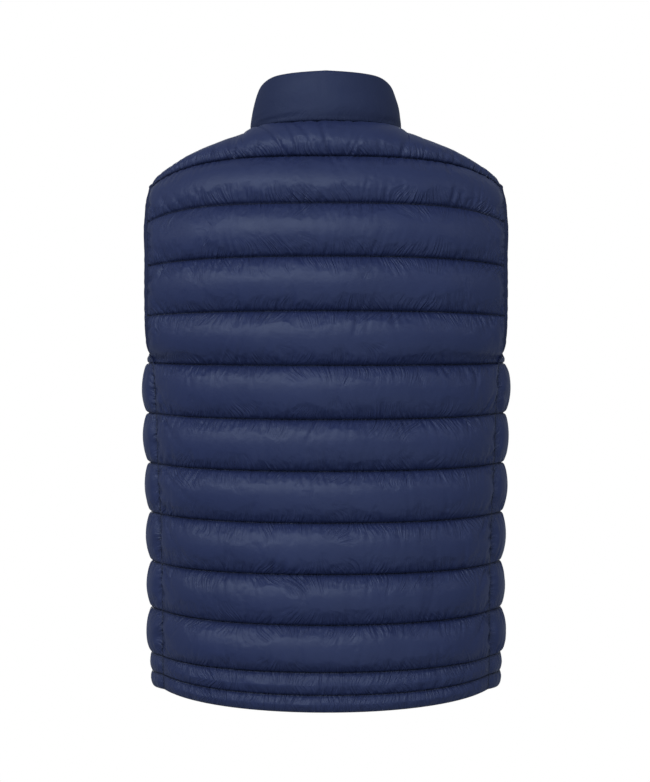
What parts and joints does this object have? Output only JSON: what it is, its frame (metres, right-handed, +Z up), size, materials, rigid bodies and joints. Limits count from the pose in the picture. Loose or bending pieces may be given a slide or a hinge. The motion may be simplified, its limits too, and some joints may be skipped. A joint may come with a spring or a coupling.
{
  "type": "quilted vest",
  "caption": "Sleeveless quilted vest with a plain stand collar, horizontal padded channels, bound armholes and a full-length front zip, filled out as worn.",
  "frame": {"origin": "on the centre plane at the base of the neck, level with the highest points of the shoulders, where the wearer holds the vest", "axes": "+Z up, front towards -Y, the wearer's left towards +X"},
  "size_m": [0.43, 0.2871, 0.7202],
  "materials": {
    "shell_cloth": "navy down-proof nylon with a soft satin sheen",
    "collar_cloth": "navy nylon, smooth and matt",
    "binding_tape": "navy elastic binding, finely ribbed",
    "zip_tape": "navy woven tape and moulded coil",
    "zip_metal": "navy lacquer over cast metal"
  },
  "bodies": {
    "garment": {"back_panel": "shell_cloth", "front_panel_left": "shell_cloth", "front_panel_right": "shell_cloth", "collar": "collar_cloth", "armhole_binding_left": "binding_tape", "armhole_binding_right": "binding_tape", "zip_chain": "zip_tape", "zip_slider": "zip_metal"},
    "pull": {"zip_pull": "zip_metal"}
  },
  "joints": [
    {"name": "pull_hinge", "type": "hinge", "parent": "garment", "child": "pull", "pos_m": [0, -0.0905, -0.017], "axis": [-1, 0, 0], "range_deg": [0, 150]}
  ]
}
